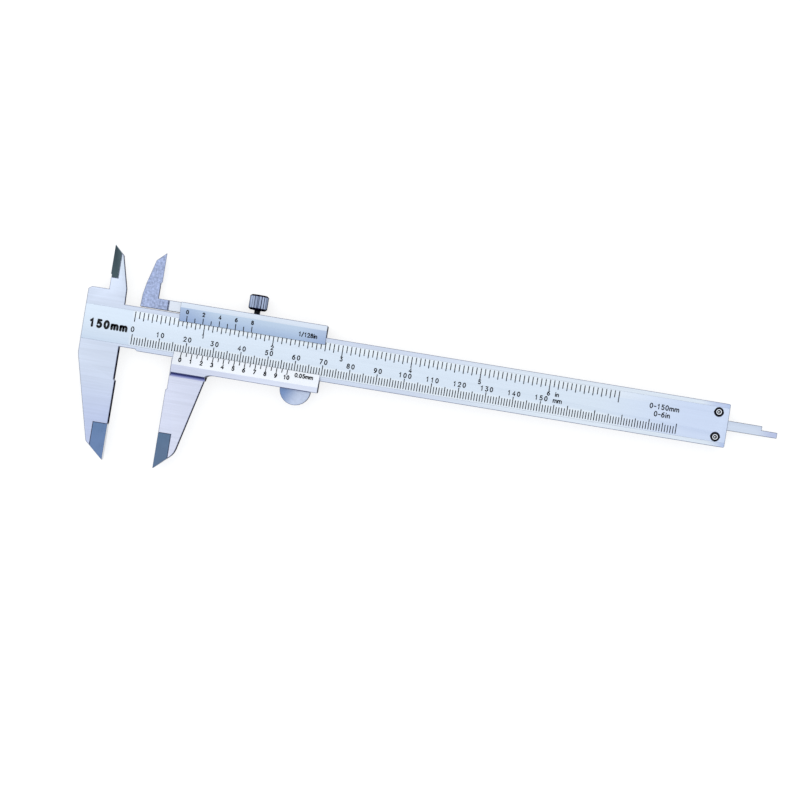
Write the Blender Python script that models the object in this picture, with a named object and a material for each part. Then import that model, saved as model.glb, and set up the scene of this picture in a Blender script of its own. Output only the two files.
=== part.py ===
"""Vernier caliper for 0 to 150 mm, with carbide-faced jaws, a lock screw and a depth rod.

It lies on its back: +X runs along the beam towards the depth rod, +Y towards the inside jaws and
+Z out of the graduated face. Sizes are in millimetres, and MM turns them into Blender's metres.
The beam's pieces are measured from the zero mark of the main scale and the slider's pieces from
the zero mark of the vernier. Both marks lie on the beam's middle line, and heights start at the
surface that the caliper lies on.
"""

import math

import bmesh
import bpy

MM = 0.001

# Opening between the outside jaws at rest, and the gaps between pieces
OPENING = 18.7
RUNNING = 0.05
BRAZE = 0.05

# Heights: back wall of the slider, beam, raised scale panel, lips and front of the slider
SLIDER_WALL = 2.0
BEAM_BACK = 2.1
BEAM_FRONT = 5.6
PANEL_FRONT = 5.72
LIP_BACK = 5.8
LIP_EDGE = 6.05
SLIDER_FRONT = 8.0

# Beam
BEAM_LEFT = -18.45
BEAM_RIGHT = 218.4
BEAM_HALF = 8.0
PANEL_HALF = 6.35
HEEL_RELIEF = 0.65

# Outside jaws: the face is relieved between the carbide and the beam, from RELIEF_FOOT up
FACE = -3.7
FACE_RELIEF = 0.5
RELIEF_FOOT = -19.7
OUTSIDE_TIP = -48.95
FIXED_JAW_CORNER = (-10.55, -43.0)
MOVING_SLANT = 0.93
CARBIDE_WIDE = 5.2
CARBIDE_NARROW = 4.6
CARBIDE_TOP = -35.8

# Inside jaws: the fixed blade is the front half of the thickness and the moving one the back half
INSIDE_EDGE = -11.35
INSIDE_TIP = 29.05
SHOULDER = 12.7
FIXED_BLADE_BACK = 3.9
MOVING_BLADE_BACK = 1.8
MOVING_BLADE_FRONT = 3.2
LANDING_FRONT = 3.7
INLAY_SKIN = 0.3
INLAY_WIDTH = 2.9
INLAY_FOOT = 17.1
INLAY_CORNER = 26.3
INSIDE_NOTCH = 18.3

# Slider
SLIDER_LEFT = -2.75
SLIDER_RIGHT = 50.9
SLIDER_TOP = 12.25
SLIDER_BOTTOM = -12.45
LIP_TOP_EDGE = 5.45
LIP_BOTTOM_EDGE = -5.75
BEVEL_TOP = 10.3
BEVEL_BOTTOM = -10.45
JAW_ROOT_BOTTOM = -13.45
JAW_ROOT_RIGHT = 10.0
FILLET_WIDTH = 2.8
COVE_BOTTOM = -14.9
GIB_WALL = 9.05
THUMB_X = 42.8
THUMB_RADIUS = 5.65

# Gib and its screws
GIB_BACK = 8.25
GIB_FRONT = 8.75
GIB_SCREWS = (5.5, 43.5)
GIB_SCREW_RADIUS = 1.0

# Lock screw: its axis runs along Y
LOCK_X = 24.5
LOCK_Z = 3.85
LOCK_STUD_RADIUS = 1.2
LOCK_NECK_RADIUS = 1.1
KNOB_RADIUS = 3.45
KNOB_START = 13.8
KNOB_END = 19.35
KNOB_CHAMFER = 0.6
FLUTES = 20
FLUTE_DEPTH = 0.35

# Depth rod, which runs in a groove in the back of the beam
ROD_START = 24.0
ROD_END = BEAM_RIGHT
ROD_MIDDLE = 0.2
ROD_HALF = 1.8
ROD_BACK = 2.05
ROD_FRONT = 3.65
ROD_TIP_LENGTH = 5.8
ROD_TIP_WIDTH = 2.1
ROD_SCREWS = (29.0, 45.0)
ROD_SCREW_RADIUS = 0.8
ROD_SCREW_HEAD = 1.5
GROOVE_START = ROD_START - 4.0

# Stop plate and its two screws at the end of the beam
STOP_LENGTH = 15.0
STOP_SCREW_X = 214.5
STOP_SCREW_Y = 4.58
STOP_SCREW_HEAD = 1.6
STOP_SCREW_RADIUS = 0.8

STEEL = ((0.72, 0.75, 0.80), 0.32, 1.0)
SATIN_STEEL = ((0.78, 0.81, 0.86), 0.42, 1.0)
CARBIDE = ((0.10, 0.17, 0.27), 0.30, 1.0)
BLACK_STEEL = ((0.02, 0.02, 0.025), 0.40, 0.8)
BRONZE = ((0.62, 0.40, 0.18), 0.38, 1.0)

# Which outline coordinates and which height make X, Y and Z, for a shape extruded along each axis
PLACE = {
    "X": lambda u, v, w: (w, u, v),
    "Y": lambda u, v, w: (v, w, u),
    "Z": lambda u, v, w: (u, v, w),
}


# ---------------------------------------------------------------- making objects


def clear_scene():
    for old in list(bpy.data.objects):
        bpy.data.objects.remove(old, do_unlink=True)


def empty(name, location, parent=None):
    holder = bpy.data.objects.new(name, None)
    bpy.context.collection.objects.link(holder)
    holder.location = [value * MM for value in location]
    holder.parent = parent
    return holder


def material(name, look):
    colour, roughness, metallic = look
    made = bpy.data.materials.get(name)
    if made is None:
        made = bpy.data.materials.new(name)
        made.use_nodes = True
        shader = made.node_tree.nodes["Principled BSDF"]
        shader.inputs["Base Color"].default_value = (*colour, 1.0)
        shader.inputs["Roughness"].default_value = roughness
        shader.inputs["Metallic"].default_value = metallic
    return made


def mesh_object(name, vertices, faces, parent, location=(0.0, 0.0, 0.0)):
    """A closed mesh object with its faces pointing out; all its sizes are in millimetres."""
    shape = bmesh.new()
    corners = [shape.verts.new([value * MM for value in vertex]) for vertex in vertices]
    for face in faces:
        shape.faces.new([corners[index] for index in face])
    bmesh.ops.recalc_face_normals(shape, faces=shape.faces)
    mesh = bpy.data.meshes.new(name)
    shape.to_mesh(mesh)
    shape.free()
    made = bpy.data.objects.new(name, mesh)
    bpy.context.collection.objects.link(made)
    made.parent = parent
    made.location = [value * MM for value in location]
    return made


def finish(piece, name, look):
    """Gives a finished piece its material, and smooths its round stretches."""
    piece.data.materials.append(material(name, look))
    piece.data.shade_smooth()
    piece.data.set_sharp_from_angle(angle=math.radians(30.0))
    return piece


def prism(name, outline, low, high, parent, axis="Z"):
    """An outline extruded from low to high along an axis: (x, y) for Z, (y, z) for X, (z, x) for Y."""
    place = PLACE[axis]
    count = len(outline)
    vertices = [place(u, v, w) for w in (low, high) for u, v in outline]
    faces = [tuple(range(count)), tuple(range(count, 2 * count))]
    faces += [(i, (i + 1) % count, (i + 1) % count + count, i + count) for i in range(count)]
    return mesh_object(name, vertices, faces, parent)


def box(name, x, y, z, parent):
    outline = [(x[0], y[0]), (x[1], y[0]), (x[1], y[1]), (x[0], y[1])]
    return prism(name, outline, z[0], z[1], parent)


def turned(name, profile, parent, location, axis="Z", steps=32, ripple=0.0, ripples=1):
    """A profile of (radius, height, share of the ripple) turned about an axis through location.

    The ripple is a row of flutes round the piece, cut by the share that each point states.
    """
    place = PLACE[axis]
    vertices = []
    for radius, height, share in profile:
        for step in range(steps):
            angle = 2.0 * math.pi * step / steps
            flute = 0.5 - 0.5 * math.cos(angle * ripples)
            reach = radius - ripple * share * flute
            vertices.append(place(reach * math.cos(angle), reach * math.sin(angle), height))
    last = (len(profile) - 1) * steps
    faces = [tuple(range(steps)), tuple(range(last, last + steps))]
    for ring in range(len(profile) - 1):
        start = ring * steps
        for step in range(steps):
            along = (step + 1) % steps
            faces.append((start + step, start + along, start + along + steps, start + step + steps))
    return mesh_object(name, vertices, faces, parent, location)


def cylinder(name, radius, low, high, parent, location, axis="Z", steps=24):
    return turned(name, [(radius, low, 0.0), (radius, high, 0.0)], parent, location, axis, steps)


def combine(piece, tool, operation):
    """Adds a tool to a piece (UNION) or cuts it away (DIFFERENCE), and hides the tool."""
    modifier = piece.modifiers.new(tool.name, "BOOLEAN")
    modifier.operation = operation
    modifier.object = tool
    tool.hide_render = True
    tool.display_type = "WIRE"


def add(piece, *tools):
    for tool in tools:
        combine(piece, tool, "UNION")


def cut(piece, *tools):
    for tool in tools:
        combine(piece, tool, "DIFFERENCE")


def arc(centre_x, centre_y, radius_x, radius_y, start, end, steps):
    """Points on an elliptical arc from one angle to another, in degrees."""
    points = []
    for step in range(steps + 1):
        angle = math.radians(start + (end - start) * step / steps)
        points.append((centre_x + radius_x * math.cos(angle), centre_y + radius_y * math.sin(angle)))
    return points


def rounded(corners, steps=6):
    """An outline whose corners (x, y, radius) are rounded where the radius isn't 0."""
    outline = []
    for index, (x, y, radius) in enumerate(corners):
        if not radius:
            outline.append((x, y))
            continue
        before = corners[index - 1]
        after = corners[(index + 1) % len(corners)]
        back = math.atan2(before[1] - y, before[0] - x)
        ahead = math.atan2(after[1] - y, after[0] - x)
        half = math.remainder(ahead - back, 2.0 * math.pi) / 2.0
        middle = back + half
        reach = radius / math.sin(abs(half))
        centre = (x + reach * math.cos(middle), y + reach * math.sin(middle))
        swing = math.pi - 2.0 * abs(half)
        first = middle + math.pi - math.copysign(swing / 2.0, -half)
        for step in range(steps + 1):
            angle = first + math.copysign(swing, -half) * step / steps
            outline.append((centre[0] + radius * math.cos(angle), centre[1] + radius * math.sin(angle)))
    return outline


# ---------------------------------------------------------------- beam with the fixed jaws


def beam_outline():
    """The full-thickness part: bar and fixed outside jaw, with a corner for the carbide face."""
    step = FACE - CARBIDE_WIDE - BRAZE
    return rounded([
        (BEAM_RIGHT, -BEAM_HALF, 0.5),
        (BEAM_RIGHT, BEAM_HALF, 0.5),
        (BEAM_LEFT, BEAM_HALF, 0),
        (BEAM_LEFT, -11.9, 12.0),
        (*FIXED_JAW_CORNER, 0),
        (step, fixed_slant(step), 0),
        (step, CARBIDE_TOP + BRAZE, 0),
        (FACE, CARBIDE_TOP + BRAZE, 0),
        (FACE, RELIEF_FOOT, 0),
        (FACE - FACE_RELIEF, RELIEF_FOOT + 0.3, 0),
        (FACE - FACE_RELIEF, HEEL_RELIEF - BEAM_HALF, 0),
        (1.8, HEEL_RELIEF - BEAM_HALF, 0),
        (2.4, -BEAM_HALF, 0),
    ])


def fixed_slant(x):
    """The slanted end of the fixed outside jaw, as y at x."""
    corner_x, corner_y = FIXED_JAW_CORNER
    return OUTSIDE_TIP + (FACE - x) * (corner_y - OUTSIDE_TIP) / (FACE - corner_x)


def fixed_blade_outline():
    """The fixed inside jaw and its shoulder, which reach above the bar."""
    return [
        (BEAM_LEFT, BEAM_HALF - 1.0),
        (-4.55, BEAM_HALF - 1.0),
        (-4.55, 9.0),
        (-4.7, 13.7),
        (-7.75, INLAY_CORNER - 0.6),
        (INSIDE_EDGE + INLAY_WIDTH, INLAY_CORNER),
        (INSIDE_EDGE, INSIDE_TIP),
        (INSIDE_EDGE, INSIDE_NOTCH),
        (INSIDE_EDGE + 0.35, INSIDE_NOTCH - 0.3),
        (INSIDE_EDGE + 0.35, SHOULDER),
        (BEAM_LEFT + 1.3, SHOULDER),
        (BEAM_LEFT, SHOULDER - 0.9),
    ]


def make_beam(parent):
    beam = prism("beam", beam_outline(), BEAM_BACK, BEAM_FRONT, parent)
    panel = box("panel_shape", (BEAM_LEFT, BEAM_RIGHT), (-PANEL_HALF, PANEL_HALF),
                (BEAM_FRONT - 1.0, PANEL_FRONT), parent)
    blade = prism("fixed_blade_shape", fixed_blade_outline(), FIXED_BLADE_BACK, BEAM_FRONT, parent)
    groove = box("groove_cutter", (GROOVE_START, BEAM_RIGHT + 1.0),
                 (ROD_MIDDLE - ROD_HALF - 0.1, ROD_MIDDLE + ROD_HALF + 0.1),
                 (0.0, ROD_FRONT + 0.15), parent)
    pocket = box("fixed_inlay_cutter", (INSIDE_EDGE - 1.0, INSIDE_EDGE + INLAY_WIDTH + BRAZE),
                 (INLAY_FOOT - BRAZE, INSIDE_TIP + 1.0),
                 (FIXED_BLADE_BACK + INLAY_SKIN, PANEL_FRONT + 1.0), parent)
    add(beam, panel, blade)
    cut(beam, groove, pocket)
    for side in (-1, 1):
        place = (STOP_SCREW_X, side * STOP_SCREW_Y, 0.0)
        sink = cylinder("stop_sink_cutter", STOP_SCREW_HEAD + 0.1, 4.5, 7.0, parent, place)
        hole = cylinder("stop_hole_cutter", STOP_SCREW_RADIUS + 0.1, 0.0, 5.0, parent, place)
        cut(beam, sink, hole)
    return finish(beam, "beam_steel", STEEL)


def make_stop_plate(parent):
    left = BEAM_RIGHT - STOP_LENGTH
    outline = rounded([
        (left, -BEAM_HALF, 0.8),
        (BEAM_RIGHT, -BEAM_HALF, 0.8),
        (BEAM_RIGHT, BEAM_HALF, 0.8),
        (left, BEAM_HALF, 0.8),
    ], steps=3)
    plate = prism("stop_plate", outline, 0.0, SLIDER_WALL, parent)
    for side in (-1, 1):
        place = (STOP_SCREW_X, side * STOP_SCREW_Y, 0.0)
        cut(plate, cylinder("stop_thread_cutter", STOP_SCREW_RADIUS + 0.06, -1.0, 3.0, parent, place))
    return finish(plate, "stop_plate_steel", STEEL)


def make_stop_screw(name, side, parent):
    """A cheese-head screw with a hexagon socket, sunk flush into the beam."""
    profile = [
        (STOP_SCREW_RADIUS, 0.4, 0.0),
        (STOP_SCREW_RADIUS, 4.6, 0.0),
        (STOP_SCREW_HEAD, 4.6, 0.0),
        (STOP_SCREW_HEAD, PANEL_FRONT - 0.1, 0.0),
        (STOP_SCREW_HEAD - 0.15, PANEL_FRONT + 0.05, 0.0),
    ]
    place = (STOP_SCREW_X, side * STOP_SCREW_Y, 0.0)
    screw = turned(name, profile, parent, place, steps=24)
    cut(screw, cylinder("socket_cutter", 0.6, PANEL_FRONT - 0.6, 7.0, parent, place, steps=6))
    return finish(screw, "stop_screw_steel", BLACK_STEEL)


# ---------------------------------------------------------------- carbide faces


def make_outside_carbide(name, width, end, parent):
    """The carbide face of an outside jaw; a positive width points to -X from the face."""
    across = FACE - width
    outline = [(FACE, CARBIDE_TOP), (across, CARBIDE_TOP), (across, end), (FACE, OUTSIDE_TIP)]
    face = prism(name, outline, BEAM_BACK, BEAM_FRONT, parent)
    return finish(face, name + "_carbide", CARBIDE)


def inlay_outline(edge, side):
    """Carbide strip of an inside jaw: side is 1 where it lies to the right of its edge."""
    return [
        (edge, INSIDE_TIP),
        (edge, INSIDE_NOTCH),
        (edge + side * 0.35, INSIDE_NOTCH - 0.3),
        (edge + side * 0.35, INLAY_FOOT),
        (edge + side * INLAY_WIDTH, INLAY_FOOT),
        (edge + side * INLAY_WIDTH, INLAY_CORNER),
    ]


def make_inside_carbide(name, side, low, high, outer, parent):
    """The strip is ground to a slope on its outer face, which is thinnest at the measuring edge."""
    strip = prism(name, inlay_outline(INSIDE_EDGE, side), low, high, parent)
    inner = low if outer == high else high
    drop = (inner - outer) / 2.0
    reach = INLAY_WIDTH - 0.3
    outside = outer - 3.0 * drop
    near = INSIDE_EDGE - side
    far = INSIDE_EDGE + side * (INLAY_WIDTH + 1.0)
    wedge = [
        (outer + drop * (1.0 + 1.0 / reach), near),
        (outer + drop * (1.0 - (INLAY_WIDTH + 1.0) / reach), far),
        (outside, far),
        (outside, near),
    ]
    cut(strip, prism(name + "_slope_cutter", wedge, INLAY_FOOT - 2.0, INSIDE_TIP + 2.0, parent, "Y"))
    return finish(strip, name + "_carbide", CARBIDE)


# ---------------------------------------------------------------- slider with the moving jaws


def channel_section():
    """Section (y, z) of the slider: a channel whose sloping lips hold the beam."""
    return [
        (SLIDER_TOP, 0.0),
        (SLIDER_TOP, SLIDER_FRONT),
        (BEVEL_TOP, SLIDER_FRONT),
        (LIP_TOP_EDGE, LIP_EDGE),
        (LIP_TOP_EDGE, LIP_BACK),
        (GIB_WALL, LIP_BACK),
        (GIB_WALL, SLIDER_WALL),
        (-BEAM_HALF - RUNNING, SLIDER_WALL),
        (-BEAM_HALF - RUNNING, LIP_BACK),
        (LIP_BOTTOM_EDGE, LIP_BACK),
        (LIP_BOTTOM_EDGE, LIP_EDGE),
        (BEVEL_BOTTOM, SLIDER_FRONT),
        (SLIDER_BOTTOM, SLIDER_FRONT),
        (SLIDER_BOTTOM, 0.0),
    ]


def jaw_root_section():
    """Section (y, z) of the thick root of the outside jaw, whose front sweeps back in a cove."""
    drop = SLIDER_FRONT - BEAM_FRONT
    cove = arc(COVE_BOTTOM, SLIDER_FRONT, JAW_ROOT_BOTTOM - COVE_BOTTOM, drop, 0.0, -90.0, 6)
    back = [(COVE_BOTTOM, BEAM_BACK + 0.2), (JAW_ROOT_BOTTOM, 0.0), (SLIDER_BOTTOM + 1.0, 0.0)]
    return [(SLIDER_BOTTOM + 1.0, SLIDER_FRONT)] + cove + back


def moving_jaw_outline():
    step = FACE + CARBIDE_NARROW + BRAZE
    return rounded([
        (FACE + FACE_RELIEF, -BEAM_HALF - 0.2, 0),
        (FACE + FACE_RELIEF, RELIEF_FOOT, 0),
        (FACE, RELIEF_FOOT - 0.3, 0),
        (FACE, CARBIDE_TOP + BRAZE, 0),
        (step, CARBIDE_TOP + BRAZE, 0),
        (step, moving_slant(step), 0),
        (3.05, moving_slant(3.05), 6.0),
        (9.75, -14.35, 0),
        (9.75, -BEAM_HALF - 0.2, 0),
    ])


def moving_slant(x):
    """The slanted end of the moving outside jaw, as y at x."""
    return OUTSIDE_TIP + (x - FACE) * MOVING_SLANT


def moving_blade_outline():
    """The moving inside jaw with its root, up to the landing beside it."""
    return [
        (-18.0, BEAM_HALF + 0.35),
        (-7.8, BEAM_HALF + 0.35),
        (-7.8, SLIDER_TOP),
        (INSIDE_EDGE - 0.5, SLIDER_TOP),
        (INSIDE_EDGE - 0.5, INSIDE_NOTCH - 0.4),
        (INSIDE_EDGE, INSIDE_NOTCH),
        (INSIDE_EDGE, INSIDE_TIP),
        (-14.75, 25.83),
        (-15.6, 22.5),
        (-16.95, 17.5),
        (-17.8, 13.0),
    ]


def thumb_rest_outline():
    lobe = arc(THUMB_X, SLIDER_BOTTOM, THUMB_RADIUS, THUMB_RADIUS, 180.0, 360.0, 24)
    root = SLIDER_BOTTOM + 1.0
    return lobe + [(THUMB_X + THUMB_RADIUS, root), (THUMB_X - THUMB_RADIUS, root)]


def add_jaws(slider, parent):
    root = prism("jaw_root_shape", jaw_root_section(), SLIDER_LEFT, JAW_ROOT_RIGHT, parent, "X")
    fillet_end = JAW_ROOT_RIGHT + FILLET_WIDTH
    fillet = [(9.0, SLIDER_BOTTOM + 0.5), (9.0, JAW_ROOT_BOTTOM)]
    fillet += arc(fillet_end, JAW_ROOT_BOTTOM, FILLET_WIDTH, SLIDER_BOTTOM - JAW_ROOT_BOTTOM,
                  180.0, 90.0, 5)
    fillet.append((fillet_end, SLIDER_BOTTOM + 0.5))
    corner = prism("jaw_root_fillet_shape", fillet, 0.0, SLIDER_FRONT, parent)
    jaw = prism("moving_jaw_shape", moving_jaw_outline(), BEAM_BACK, BEAM_FRONT, parent)
    landing = box("landing_shape", (-7.9, SLIDER_LEFT + 0.5), (BEAM_HALF + 0.35, SLIDER_TOP),
                  (MOVING_BLADE_BACK, LANDING_FRONT), parent)
    blade = prism("moving_blade_shape", moving_blade_outline(),
                  MOVING_BLADE_BACK, MOVING_BLADE_FRONT, parent)
    thumb = prism("thumb_rest_shape", thumb_rest_outline(), 2.2, BEAM_FRONT, parent)
    add(slider, root, corner, jaw, landing, blade, thumb)
    relief = box("relief_groove_cutter", (-8.05, -7.65), (BEAM_HALF, SLIDER_TOP + 1.0),
                 (MOVING_BLADE_FRONT - 0.4, SLIDER_FRONT), parent)
    pocket = box("moving_inlay_cutter", (INSIDE_EDGE - INLAY_WIDTH - BRAZE, INSIDE_EDGE + 1.0),
                 (INLAY_FOOT - BRAZE, INSIDE_TIP + 1.0),
                 (0.0, MOVING_BLADE_FRONT - INLAY_SKIN), parent)
    cut(slider, relief, pocket)


def make_slider(parent):
    slider = prism("slider_frame", channel_section(), SLIDER_LEFT, SLIDER_RIGHT, parent, "X")
    add_jaws(slider, parent)
    lock_place = (LOCK_X, 0.0, LOCK_Z)
    cut(slider, cylinder("lock_hole_cutter", LOCK_STUD_RADIUS + 0.06, GIB_BACK, SLIDER_TOP + 1.0,
                         parent, lock_place, "Y"))
    for x in GIB_SCREWS:
        cut(slider, cylinder("gib_hole_cutter", GIB_SCREW_RADIUS + 0.06, GIB_BACK, SLIDER_TOP + 1.0,
                             parent, (x, 0.0, LOCK_Z), "Y"))
    for x in ROD_SCREWS:
        sink = [
            (ROD_SCREW_HEAD + 0.16, -0.1, 0.0),
            (ROD_SCREW_RADIUS + 0.06, 0.75, 0.0),
            (ROD_SCREW_RADIUS + 0.06, SLIDER_WALL + 0.5, 0.0),
        ]
        cut(slider, turned("rod_sink_cutter", sink, parent, (x, ROD_MIDDLE, 0.0), steps=24))
    return finish(slider, "slider_steel", SATIN_STEEL)


# ---------------------------------------------------------------- gib, screws and depth rod


def make_gib(parent):
    gib = box("gib", (SLIDER_LEFT + 1.0, SLIDER_RIGHT - 1.0), (GIB_BACK, GIB_FRONT),
              (BEAM_BACK + 0.15, BEAM_FRONT - 0.05), parent)
    return finish(gib, "gib_bronze", BRONZE)


def slot_cutter(name, place, width, depth, top, axis, parent):
    """A screwdriver slot across a screw head: it opens to +Y, or for any other axis to -Z."""
    half = width / 2.0
    x = (place[0] - 3.0, place[0] + 3.0)
    if axis == "Y":
        return box(name, x, (top - depth, top + 1.0), (place[2] - half, place[2] + half), parent)
    return box(name, x, (place[1] - half, place[1] + half), (top - 1.0, top + depth), parent)


def make_gib_screw(name, x, parent):
    place = (x, 0.0, LOCK_Z)
    start = GIB_FRONT + 0.1
    end = SLIDER_TOP - 0.25
    profile = [
        (0.7, start, 0.0),
        (GIB_SCREW_RADIUS, start + 0.3, 0.0),
        (GIB_SCREW_RADIUS, end, 0.0),
    ]
    screw = turned(name, profile, parent, place, "Y", steps=20)
    cut(screw, slot_cutter(name + "_slot", place, 0.4, 0.6, end, "Y", parent))
    return finish(screw, "gib_screw_steel", BLACK_STEEL)


def make_lock_screw(parent):
    """A fluted knob on a threaded stud, whose tip bears on the gib."""
    start = GIB_FRONT + BRAZE
    shoulder = KNOB_RADIUS - KNOB_CHAMFER
    profile = [
        (0.9, start, 0.0),
        (LOCK_STUD_RADIUS, start + 0.3, 0.0),
        (LOCK_STUD_RADIUS, SLIDER_TOP + 0.2, 0.0),
        (LOCK_NECK_RADIUS, SLIDER_TOP + 0.3, 0.0),
        (LOCK_NECK_RADIUS, KNOB_START, 0.0),
        (shoulder, KNOB_START, 0.0),
        (KNOB_RADIUS, KNOB_START + KNOB_CHAMFER, 1.0),
        (KNOB_RADIUS, KNOB_END - KNOB_CHAMFER, 1.0),
        (shoulder, KNOB_END, 0.0),
    ]
    screw = turned("lock_screw", profile, parent, (0.0, 0.0, 0.0), "Y", FLUTES * 4, FLUTE_DEPTH, FLUTES)
    return finish(screw, "lock_screw_steel", STEEL)


def make_depth_rod(parent):
    """A flat rod whose tip is stepped back on one side, so that it reaches into a corner."""
    low = ROD_MIDDLE - ROD_HALF
    high = ROD_MIDDLE + ROD_HALF
    shoulder = ROD_END - ROD_TIP_LENGTH
    outline = [
        (ROD_START, low),
        (ROD_END, low),
        (ROD_END, low + ROD_TIP_WIDTH),
        (shoulder, low + ROD_TIP_WIDTH),
        (shoulder, high),
        (ROD_START, high),
    ]
    rod = prism("depth_rod", outline, ROD_BACK, ROD_FRONT, parent)
    for x in ROD_SCREWS:
        cut(rod, cylinder("rod_thread_cutter", ROD_SCREW_RADIUS + 0.06, 0.0, ROD_FRONT - 0.3,
                          parent, (x, ROD_MIDDLE, 0.0)))
    return finish(rod, "depth_rod_steel", STEEL)


def make_rod_screw(name, x, parent):
    place = (x, ROD_MIDDLE, 0.0)
    profile = [
        (ROD_SCREW_HEAD, 0.05, 0.0),
        (ROD_SCREW_RADIUS, 0.8, 0.0),
        (ROD_SCREW_RADIUS, ROD_FRONT - 0.4, 0.0),
    ]
    screw = turned(name, profile, parent, place, steps=24)
    cut(screw, slot_cutter(name + "_slot", place, 0.4, 0.35, 0.05, "Z", parent))
    return finish(screw, "rod_screw_steel", STEEL)


# ---------------------------------------------------------------- the caliper


def make_caliper():
    """The origin is the middle of the base of the caliper's box as it lies at rest."""
    middle_x = (BEAM_LEFT + OPENING + ROD_END) / 2.0
    middle_y = (OUTSIDE_TIP + INSIDE_TIP) / 2.0
    beam_zero = empty("beam_zero", (-middle_x, -middle_y, 0.0))
    vernier_zero = empty("vernier_zero", (OPENING, 0.0, 0.0), beam_zero)
    lock_axis = empty("lock_axis", (LOCK_X, 0.0, LOCK_Z), vernier_zero)

    make_beam(beam_zero)
    make_stop_plate(beam_zero)
    for number, side in enumerate((1, -1), 1):
        make_stop_screw(f"stop_screw_{number}", side, beam_zero)
    make_outside_carbide("fixed_outside_face", CARBIDE_WIDE, fixed_slant(FACE - CARBIDE_WIDE), beam_zero)
    make_inside_carbide("fixed_inside_face", 1, FIXED_BLADE_BACK + INLAY_SKIN + BRAZE, BEAM_FRONT,
                        BEAM_FRONT, beam_zero)

    make_slider(vernier_zero)
    make_outside_carbide("moving_outside_face", -CARBIDE_NARROW, moving_slant(FACE + CARBIDE_NARROW),
                         vernier_zero)
    make_inside_carbide("moving_inside_face", -1, MOVING_BLADE_BACK,
                        MOVING_BLADE_FRONT - INLAY_SKIN - BRAZE, MOVING_BLADE_BACK, vernier_zero)
    make_gib(vernier_zero)
    make_lock_screw(lock_axis)
    make_depth_rod(vernier_zero)
    for number, x in enumerate(GIB_SCREWS, 1):
        make_gib_screw(f"gib_screw_{number}", x, vernier_zero)
    for number, x in enumerate(ROD_SCREWS, 1):
        make_rod_screw(f"rod_screw_{number}", x, vernier_zero)


clear_scene()
make_caliper()
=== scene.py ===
"""Looks of a 0 to 150 mm vernier caliper: ground and satin steel, carbide faces and the graduations.

Lengths on the caliper are written in millimetres and MM turns them into metres. X is counted from
the zero mark of the main scale on the beam and from the zero mark of the vernier on the slider, and
Y from the beam's middle line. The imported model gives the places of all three.
"""

import math

import bmesh
import bpy
from mathutils import Matrix, Vector


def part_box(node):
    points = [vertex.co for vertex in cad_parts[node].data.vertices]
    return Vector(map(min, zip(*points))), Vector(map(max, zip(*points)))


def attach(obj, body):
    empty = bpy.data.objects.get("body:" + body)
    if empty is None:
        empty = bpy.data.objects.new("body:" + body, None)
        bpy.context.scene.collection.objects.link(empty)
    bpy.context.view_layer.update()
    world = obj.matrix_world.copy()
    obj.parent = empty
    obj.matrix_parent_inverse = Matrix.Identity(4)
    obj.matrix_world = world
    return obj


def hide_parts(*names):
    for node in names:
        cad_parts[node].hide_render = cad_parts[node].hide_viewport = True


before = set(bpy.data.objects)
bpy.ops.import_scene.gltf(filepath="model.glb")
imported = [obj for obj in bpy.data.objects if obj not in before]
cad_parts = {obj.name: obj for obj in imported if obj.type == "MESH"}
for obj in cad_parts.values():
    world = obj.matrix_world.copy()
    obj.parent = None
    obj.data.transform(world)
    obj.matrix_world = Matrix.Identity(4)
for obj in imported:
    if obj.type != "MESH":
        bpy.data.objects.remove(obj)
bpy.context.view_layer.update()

MM = 0.001

# Places of the two zero marks, from the ends of the beam and the slider, and of the middle line
ZERO_TO_BEAM_END = 218.4
ZERO_TO_SLIDER_END = 50.9
MAIN_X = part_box("beam")[1].x / MM - ZERO_TO_BEAM_END
VERNIER_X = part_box("slider_frame")[1].x / MM - ZERO_TO_SLIDER_END
MIDDLE_Y = (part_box("stop_plate")[0].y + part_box("stop_plate")[1].y) / 2.0 / MM

# Heights of the scale panel, of the edges of the vernier's lips and of the slider's front
PANEL_FRONT = 5.72
LIP_EDGE = 6.05
SLIDER_FRONT = 8.0

# The Y values between which the vernier's two bevels rise from a lip's edge to the slider's front
LIP_TOP_EDGE = 5.45
BEVEL_TOP = 10.3
LIP_BOTTOM_EDGE = -5.75
BEVEL_BOTTOM = -10.45

# Strength of the studio dome, which metal() allows for
STUDIO = 1.7

# Graduations
INCH = 25.4
LINE_WIDTH = 0.34
LINE_PROUD = 0.012
LINE_SUNK = 0.03
MM_LINE_FOOT = -5.95
INCH_LINE_TOP = 6.2
VERNIER_MM_STEP = 1.95
VERNIER_INCH_STEP = INCH / 16.0 * 15.0 / 8.0


# ---------------------------------------------------------------- colours and shader nodes


def tone(red, green, blue):
    """A display colour with parts from 0 to 255, as the linear colour that a shader takes."""
    parts = []
    for part in (red, green, blue):
        value = part / 255.0
        parts.append(value / 12.92 if value <= 0.04045 else ((value + 0.055) / 1.055) ** 2.4)
    return (*parts, 1.0)


def metal(red, green, blue):
    """The linear colour of a metal that shows this display colour where it reflects the dome's top."""
    return (*[part / STUDIO for part in tone(red, green, blue)[:3]], 1.0)


def new_material(name):
    made = bpy.data.materials.new(name)
    made.use_nodes = True
    tree = made.node_tree
    return made, tree, tree.nodes["Principled BSDF"]


def add_node(tree, kind, settings=None, **inputs):
    """A shader node with its inputs set.

    An input is a value or another node's output. It goes by its name, with _ for a space, or by its
    number, as i0 or i1.
    """
    made = tree.nodes.new(kind)
    for key, value in (settings or {}).items():
        setattr(made, key, value)
    for key, value in inputs.items():
        numbered = key[0] == "i" and key[1:].isdigit()
        socket = made.inputs[int(key[1:]) if numbered else key.replace("_", " ")]
        if isinstance(value, bpy.types.NodeSocket):
            tree.links.new(value, socket)
        else:
            socket.default_value = value
    return made


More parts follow.
